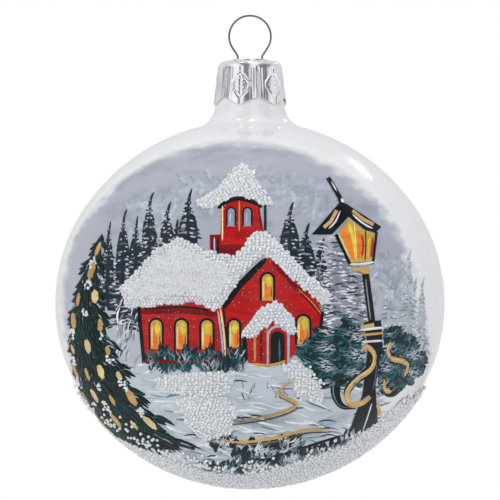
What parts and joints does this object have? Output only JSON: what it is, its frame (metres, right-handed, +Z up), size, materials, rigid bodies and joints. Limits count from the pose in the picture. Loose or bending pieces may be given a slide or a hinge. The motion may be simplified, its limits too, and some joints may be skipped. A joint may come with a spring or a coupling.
{
  "type": "christmas ball ornament",
  "caption": "Blown glass Christmas ball with a pressed crown cap, a sprung wire loop and a painted winter village with glass-bead snow.",
  "frame": {"origin": "where a hook bears, at the top of the inside of the wire loop, in the middle of the loop's width", "axes": "+Z up along the neck, out of the ball through the cap; the picture faces -Y; +X to the right as the picture is seen"},
  "size_m": [0.08, 0.0808, 0.0977],
  "materials": {
    "white_glass": "gloss, opaque white from its lining",
    "white_lacquer": "satin",
    "silver_sheet": "bright",
    "spring_wire": "bright drawn",
    "sky_paint": "brushed",
    "snow_paint": "brushed",
    "fir_paint": "brushed",
    "pale_paint": "brushed",
    "red_paint": "gloss enamel",
    "dark_paint": "gloss enamel",
    "lit_window": "gloss enamel",
    "teal_paint": "brushed",
    "tree_paint": "gloss enamel",
    "gold_paint": "metallic paint",
    "bead_snow": "glass beads in clear glue"
  },
  "bodies": {
    "ball": {"glass_ball": "white_glass", "white_lining": "white_lacquer", "sky_coat": "sky_paint", "snowfield_coat": "snow_paint", "left_pines": "fir_paint", "right_pines": "fir_paint", "snowy_fir": "pale_paint", "nave_wall": "red_paint", "gable_wall": "red_paint", "belfry_wall": "red_paint", "belfry_base": "red_paint", "porch_wall": "red_paint", "church_door": "dark_paint", "nave_windows": "lit_window", "gable_windows": "lit_window", "belfry_windows": "sky_paint", "church_outline": "dark_paint", "nave_roof_snow": "bead_snow", "gable_roof_snow": "bead_snow", "belfry_roof_snow": "bead_snow", "porch_roof_snow": "bead_snow", "front_shrubs": "teal_paint", "fir_boughs": "teal_paint", "side_shrubs": "teal_paint", "lamp_post": "dark_paint", "lamp_roof": "dark_paint", "lamp_panes": "lit_window", "lamp_scrolls": "gold_paint", "lamp_gilding": "gold_paint", "christmas_tree": "tree_paint", "gold_baubles": "gold_paint", "snow_puffs": "bead_snow", "left_drift": "bead_snow", "middle_drift": "bead_snow", "right_drift": "bead_snow", "foreground_scrub": "dark_paint", "gold_path": "gold_paint", "base_snow_band": "bead_snow"},
    "cap": {"crown_cap": "silver_sheet"},
    "hanger": {"hanger_wire": "spring_wire"}
  },
  "joints": [
    {"name": "cap_lift", "type": "slide", "parent": "ball", "child": "cap", "axis": [0, 0, 1], "range_m": [0, 0.018]},
    {"name": "hanger_tilt", "type": "hinge", "parent": "cap", "child": "hanger", "pos_m": [0, 0, -0.0088], "axis": [1, 0, 0], "range_deg": [-10, 10]}
  ]
}
